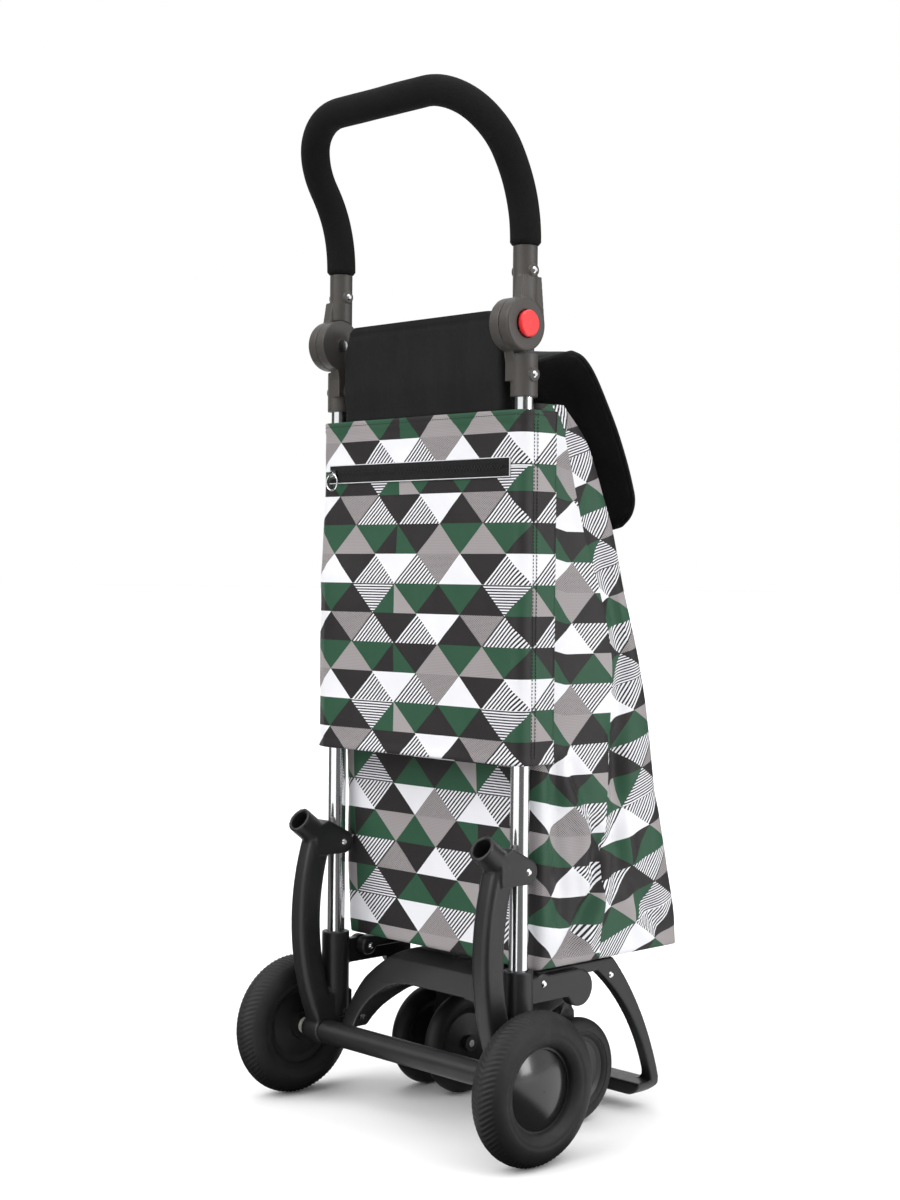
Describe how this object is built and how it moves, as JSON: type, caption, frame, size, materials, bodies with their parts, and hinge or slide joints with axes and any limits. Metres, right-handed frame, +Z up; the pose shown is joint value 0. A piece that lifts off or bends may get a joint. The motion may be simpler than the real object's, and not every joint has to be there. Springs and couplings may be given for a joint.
{
  "type": "folding shopping trolley",
  "caption": "Upright shopping trolley with a fabric bag on a tube frame, folding grip handle, two main wheels, swivel twin casters and a front foot.",
  "frame": {"origin": "on the ground, midway between the left and right wheels and midway between the main wheels' rear edge and the bag's front edge", "axes": "+X to the user's right, +Y forward away from the user, +Z up"},
  "size_m": [0.415, 0.3506, 1.097],
  "materials": {
    "alu": "polished tube",
    "moulded_black": "fine-grained moulded plastic",
    "hinge_grey": "satin warm grey plastic",
    "button_red": "satin",
    "foam_black": "matte closed-cell foam",
    "steel_bright": "zinc plated",
    "chrome": "polished",
    "tyre_black": "matte rubber",
    "hub_black": "gloss",
    "nylon": "natural nylon",
    "print_fabric": "printed water-repellent polyester",
    "black_fabric": "woven polyester",
    "board": "fibre board",
    "zip_black": "zip tape"
  },
  "bodies": {
    "frame": {"frame_tube_left": "alu", "frame_tube_right": "alu", "chassis_side_left": "moulded_black", "chassis_side_right": "moulded_black", "crossbar": "moulded_black", "main_axle": "steel_bright", "axle_clips": "steel_bright", "hinge_base_left": "hinge_grey", "hinge_base_right": "hinge_grey", "hinge_pins": "steel_bright", "arm_rivets": "steel_bright", "socket_rivets_lower": "steel_bright", "plate_rivets": "steel_bright", "foot_rivets": "steel_bright", "foot_frame": "moulded_black", "front_bridge": "moulded_black", "bridge_pins": "steel_bright", "stem_bushes": "nylon", "bag_body": "print_fabric", "bag_base_board": "board", "pocket_panel": "print_fabric", "back_panel": "black_fabric", "zip_tape": "zip_black", "lock_spring_left": "steel_bright", "lock_spring_right": "steel_bright"},
    "handle": {"handle_tube": "alu", "handle_grip": "foam_black", "hinge_arm_left": "hinge_grey", "hinge_arm_right": "hinge_grey", "socket_rivets_upper": "steel_bright"},
    "button_left": {"release_button_left": "button_red"},
    "button_right": {"release_button_right": "button_red"},
    "lock_left": {"lock_star_left": "moulded_black"},
    "lock_right": {"lock_star_right": "moulded_black"},
    "wheel_left": {"wheel_tyre_left": "tyre_black", "wheel_hub_left": "moulded_black", "hub_cap_left": "hub_black", "wheel_bush_left": "nylon"},
    "wheel_right": {"wheel_tyre_right": "tyre_black", "wheel_hub_right": "moulded_black", "hub_cap_right": "hub_black", "wheel_bush_right": "nylon"},
    "caster_left": {"caster_yoke_left": "moulded_black", "caster_stem_left": "steel_bright", "caster_axle_left": "steel_bright"},
    "caster_right": {"caster_yoke_right": "moulded_black", "caster_stem_right": "steel_bright", "caster_axle_right": "steel_bright"},
    "caster_wheel_left_outer": {"caster_tyre_left_outer": "tyre_black", "caster_hub_left_outer": "moulded_black"},
    "caster_wheel_left_inner": {"caster_tyre_left_inner": "tyre_black", "caster_hub_left_inner": "moulded_black"},
    "caster_wheel_right_inner": {"caster_tyre_right_inner": "tyre_black", "caster_hub_right_inner": "moulded_black"},
    "caster_wheel_right_outer": {"caster_tyre_right_outer": "tyre_black", "caster_hub_right_outer": "moulded_black"},
    "lid": {"lid_flap": "black_fabric"},
    "zip": {"zip_slider": "chrome"},
    "puller": {"zip_puller": "chrome"}
  },
  "joints": [
    {"name": "handle_fold", "type": "hinge", "parent": "frame", "child": "handle", "pos_m": [0, -0.0847, 0.843], "axis": [1, 0, 0], "range_deg": [0, 158]},
    {"name": "button_right_press", "type": "slide", "parent": "handle", "child": "button_right", "axis": [-1, 0, 0], "range_m": [0, 0.004], "stiffness_N_per_m": 500, "springref_m": -0.003},
    {"name": "button_left_press", "type": "slide", "parent": "handle", "child": "button_left", "axis": [1, 0, 0], "range_m": [0, 0.004], "stiffness_N_per_m": 500, "springref_m": -0.003},
    {"name": "lock_right_slide", "type": "slide", "parent": "frame", "child": "lock_right", "axis": [-1, 0, 0], "range_m": [0, 0.004], "deforming": ["lock_spring_right"]},
    {"name": "lock_left_slide", "type": "slide", "parent": "frame", "child": "lock_left", "axis": [1, 0, 0], "range_m": [0, 0.004], "deforming": ["lock_spring_left"]},
    {"name": "wheel_left_spin", "type": "hinge", "parent": "frame", "child": "wheel_left", "pos_m": [-0.1875, -0.0973, 0.078], "axis": [1, 0, 0], "continuous": true},
    {"name": "wheel_right_spin", "type": "hinge", "parent": "frame", "child": "wheel_right", "pos_m": [0.1875, -0.0973, 0.078], "axis": [1, 0, 0], "continuous": true},
    {"name": "caster_left_swivel", "type": "hinge", "parent": "frame", "child": "caster_left", "pos_m": [-0.0845, 0.0503, 0.13], "axis": [0, 0, 1], "continuous": true},
    {"name": "caster_right_swivel", "type": "hinge", "parent": "frame", "child": "caster_right", "pos_m": [0.0845, 0.0503, 0.13], "axis": [0, 0, 1], "continuous": true},
    {"name": "caster_wheel_left_outer_spin", "type": "hinge", "parent": "caster_left", "child": "caster_wheel_left_outer", "pos_m": [-0.112, 0.0443, 0.057], "axis": [1, 0, 0], "continuous": true},
    {"name": "caster_wheel_left_inner_spin", "type": "hinge", "parent": "caster_left", "child": "caster_wheel_left_inner", "pos_m": [-0.057, 0.0443, 0.057], "axis": [1, 0, 0], "continuous": true},
    {"name": "caster_wheel_right_inner_spin", "type": "hinge", "parent": "caster_right", "child": "caster_wheel_right_inner", "pos_m": [0.057, 0.0443, 0.057], "axis": [1, 0, 0], "continuous": true},
    {"name": "caster_wheel_right_outer_spin", "type": "hinge", "parent": "caster_right", "child": "caster_wheel_right_outer", "pos_m": [0.112, 0.0443, 0.057], "axis": [1, 0, 0], "continuous": true},
    {"name": "lid_lift", "type": "hinge", "parent": "frame", "child": "lid", "pos_m": [0, -0.0727, 0.812], "axis": [1, 0, 0], "range_deg": [0, 60]},
    {"name": "zip_slide", "type": "slide", "parent": "frame", "child": "zip", "axis": [1, 0, 0], "range_m": [0, 0.262]},
    {"name": "puller_swing", "type": "hinge", "parent": "zip", "child": "puller", "pos_m": [-0.131, -0.0966, 0.7], "axis": [1, 0, 0], "range_deg": [-70, 0]}
  ],
  "couplings": [
    {"joint": "lock_right_slide", "follows": "button_right_press", "ratio": 1},
    {"joint": "lock_left_slide", "follows": "button_left_press", "ratio": 1}
  ]
}
